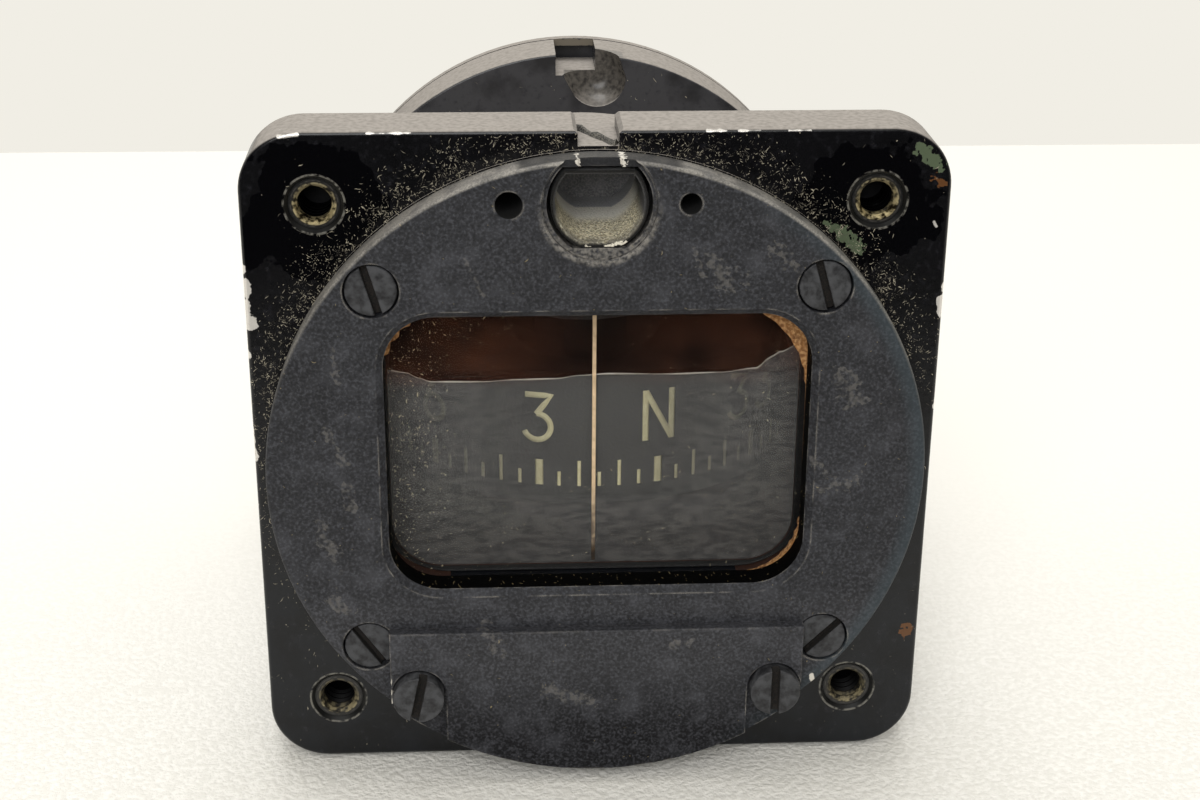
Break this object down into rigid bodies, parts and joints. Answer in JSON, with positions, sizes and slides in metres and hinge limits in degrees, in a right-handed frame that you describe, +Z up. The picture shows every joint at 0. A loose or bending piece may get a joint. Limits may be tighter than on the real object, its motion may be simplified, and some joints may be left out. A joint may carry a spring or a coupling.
{
  "type": "aircraft magnetic compass",
  "caption": "Panel-mounted liquid-filled magnetic compass: square flange, round bezel with window, floating card, lubber line, geared compensator behind a cover, rear expansion chamber.",
  "frame": {"origin": "middle of the bounding box at the height of the flange's lower edge", "axes": "+X to the right as the dial is read, +Y from the dial towards the back, +Z up"},
  "size_m": [0.0596, 0.0576, 0.0596],
  "materials": {
    "case_enamel": "gloss black enamel over cast aluminium, worn",
    "bezel_paint": "matt charcoal paint, scuffed",
    "window_glass": "polished",
    "cork": "aged cork",
    "black_rubber": "moulded",
    "marking_paint": "aged cream paint",
    "lamp_sleeve": "aged fibre, dusty",
    "blackened_screw": "black oxide, worn",
    "brass": "turned",
    "card_black": "matt black with cream markings",
    "bare_aluminium": "machined",
    "magnet_alloy": "ground",
    "ruby": "polished",
    "bright_steel": "ground"
  },
  "bodies": {
    "case": {"case_casting": "case_enamel", "front_bezel": "bezel_paint", "window_glass": "window_glass", "window_gasket": "cork", "glass_seal": "black_rubber", "lubber_line": "marking_paint", "lamp_sleeve": "lamp_sleeve", "compensator_cover": "bezel_paint", "filler_plug": "brass", "plug_washer": "black_rubber", "mount_insert_1": "brass", "mount_insert_2": "brass", "mount_insert_3": "brass", "mount_insert_4": "brass", "bezel_screw_1": "blackened_screw", "bezel_screw_2": "blackened_screw", "bezel_screw_3": "blackened_screw", "bezel_screw_4": "blackened_screw", "cover_screw_1": "blackened_screw", "cover_screw_2": "blackened_screw", "post_base": "bare_aluminium", "jewel_post": "brass", "jewel_spring": "bright_steel", "jewel_cup": "ruby", "diaphragm_gasket": "black_rubber", "diaphragm": "brass", "rear_cover": "case_enamel", "rear_screw_1": "blackened_screw", "rear_screw_2": "blackened_screw", "rear_screw_3": "blackened_screw", "rear_screw_4": "blackened_screw", "rear_screw_5": "blackened_screw", "rear_screw_6": "blackened_screw", "compensator_frame": "bare_aluminium"},
    "card": {"card_ring": "card_black", "card_web": "card_black", "float_bell": "card_black", "card_magnet_left": "magnet_alloy", "card_magnet_right": "magnet_alloy", "pivot_pin": "bright_steel"},
    "east_west_drive": {"east_west_adjuster": "brass", "east_west_drive_gear": "brass", "east_west_magnet": "magnet_alloy"},
    "east_west_idle": {"east_west_idle_shaft": "bright_steel", "east_west_idle_gear": "brass", "east_west_idle_magnet": "magnet_alloy"},
    "north_south_drive": {"north_south_adjuster": "brass", "north_south_crown_wheel": "brass"},
    "north_south_front_shaft": {"north_south_pinion": "brass", "north_south_shaft": "bright_steel", "north_south_magnet": "magnet_alloy"},
    "north_south_rear_shaft": {"north_south_idle_gear": "brass", "north_south_idle_shaft": "bright_steel", "north_south_idle_magnet": "magnet_alloy"}
  },
  "joints": [
    {"name": "card_spin", "type": "hinge", "parent": "case", "child": "card", "pos_m": [0, 0.00239, 0.0298], "axis": [0, 0, 1], "continuous": true},
    {"name": "east_west_adjust", "type": "hinge", "parent": "case", "child": "east_west_drive", "pos_m": [0.0092, -0.0234, 0.0099], "axis": [0, 1, 0], "continuous": true},
    {"name": "east_west_idle_turn", "type": "hinge", "parent": "case", "child": "east_west_idle", "pos_m": [0.0032, -0.0234, 0.0099], "axis": [0, 1, 0], "continuous": true},
    {"name": "north_south_adjust", "type": "hinge", "parent": "case", "child": "north_south_drive", "pos_m": [-0.0092, -0.0234, 0.0099], "axis": [0, 1, 0], "continuous": true},
    {"name": "north_south_front_turn", "type": "hinge", "parent": "case", "child": "north_south_front_shaft", "pos_m": [0, -0.0149, 0.0099], "axis": [1, 0, 0], "continuous": true},
    {"name": "north_south_rear_turn", "type": "hinge", "parent": "case", "child": "north_south_rear_shaft", "pos_m": [0, -0.0089, 0.0099], "axis": [1, 0, 0], "continuous": true}
  ],
  "couplings": [
    {"joint": "east_west_idle_turn", "follows": "east_west_adjust", "ratio": -1},
    {"joint": "north_south_front_turn", "follows": "north_south_adjust", "ratio": 1},
    {"joint": "north_south_rear_turn", "follows": "north_south_adjust", "ratio": -1}
  ]
}
